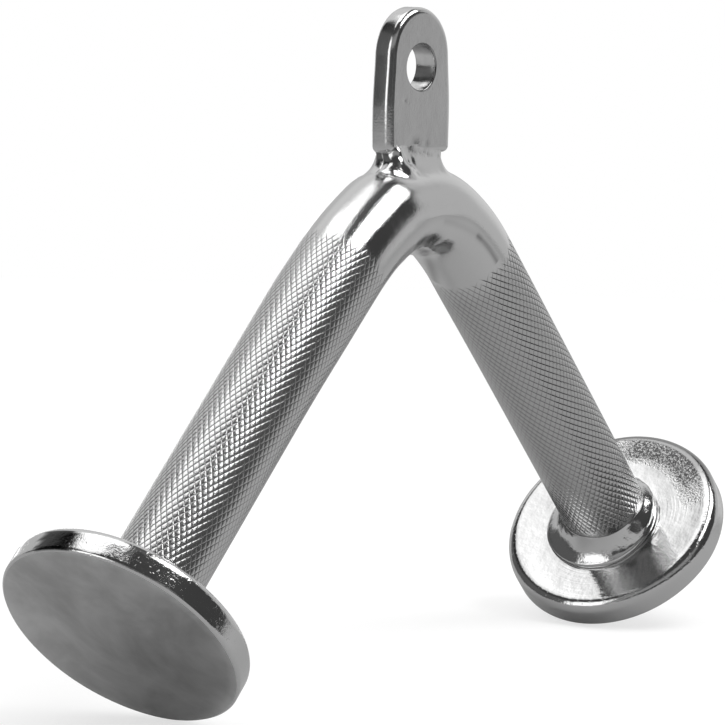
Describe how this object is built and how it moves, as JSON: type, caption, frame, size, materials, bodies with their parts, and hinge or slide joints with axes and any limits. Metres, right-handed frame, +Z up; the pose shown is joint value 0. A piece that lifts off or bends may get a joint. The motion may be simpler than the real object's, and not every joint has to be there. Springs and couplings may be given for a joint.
{
  "type": "cable machine v-bar handle",
  "caption": "V-shaped pulling handle: a bent round bar with knurled grips, a flat eye tab on the bend and a thick round disc on each lower end.",
  "frame": {"origin": "centre of the eye in the hanger tab, in the middle of the tab's thickness", "axes": "+Z straight up, the way the cable pulls; +X across the V, towards the right end disc; -Y is the front"},
  "size_m": [0.3452, 0.076, 0.2083],
  "materials": {
    "bar_chrome": "polished over the bend, diamond knurled on the legs",
    "tab_chrome": "polished plate with faint draw marks",
    "disc_chrome": "polished inner face and rim, cloudy satin outer face",
    "weld_chrome": "bright plated weld metal, uneven"
  },
  "bodies": {
    "root": {"bent_bar": "bar_chrome", "hanger_tab": "tab_chrome", "tab_weld_front": "weld_chrome", "tab_weld_back": "weld_chrome", "end_disc_left": "disc_chrome", "end_disc_right": "disc_chrome", "disc_weld_left": "weld_chrome", "disc_weld_right": "weld_chrome"}
  },
  "joints": []
}
